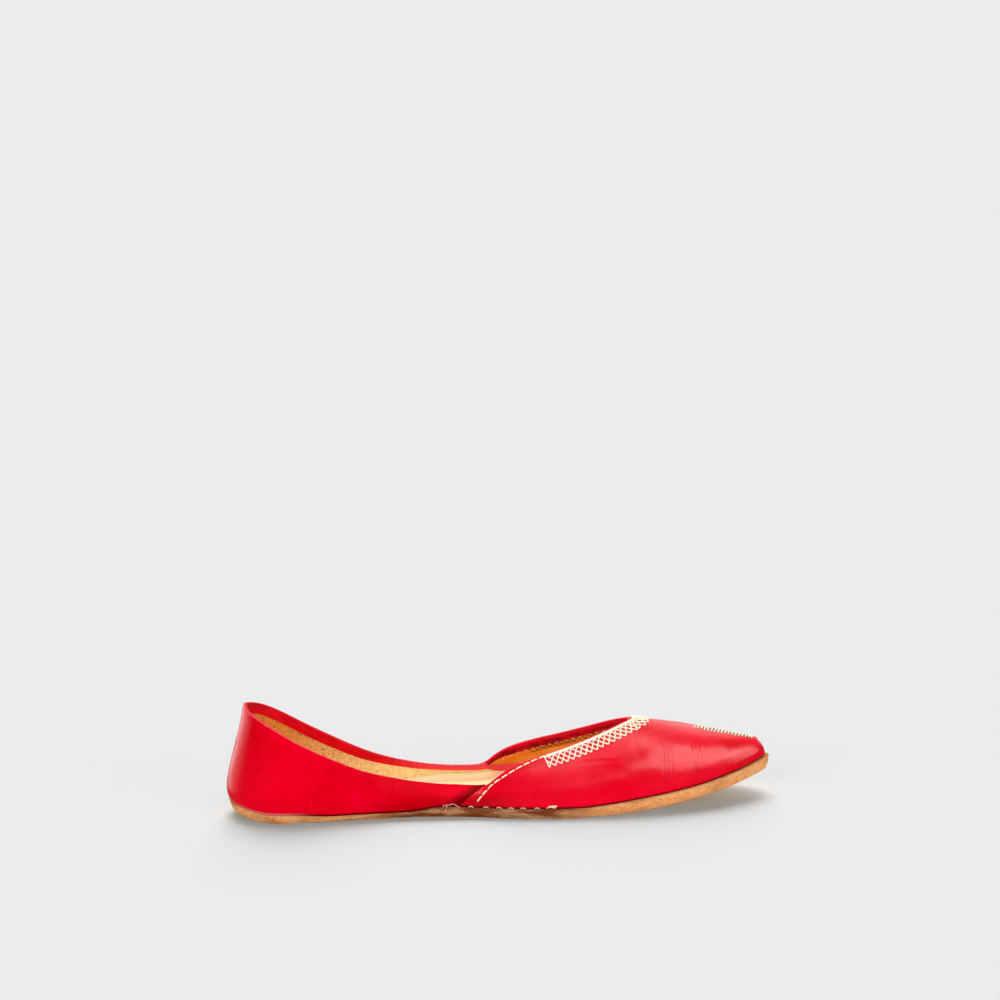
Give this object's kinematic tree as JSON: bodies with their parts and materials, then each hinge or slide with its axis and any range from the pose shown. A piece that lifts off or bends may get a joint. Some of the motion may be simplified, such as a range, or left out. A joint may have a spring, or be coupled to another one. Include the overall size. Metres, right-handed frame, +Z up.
{
  "type": "khussa",
  "caption": "Flat leather khussa slip-on with an open collar, a V throat, an almond toe and a thin sole.",
  "frame": {"origin": "middle of the shoe's length and width, on the floor under the sole", "axes": "+X from heel to toe, +Y across the shoe, +Z up from the floor"},
  "size_m": [0.2547, 0.08, 0.0526],
  "materials": {
    "red_leather": "smooth glossy red leather",
    "red_edge": "red leather turned in at the edges",
    "tan_leather": "undyed tan leather, matt",
    "sole_leather": "natural sole leather with a rough cut edge",
    "cream_thread": "cream cotton thread"
  },
  "bodies": {
    "root": {"outsole": "sole_leather", "insole": "tan_leather", "upper": "red_leather", "vamp": "red_leather", "collar_facing": "red_edge", "throat_facing": "red_edge"}
  },
  "joints": []
}
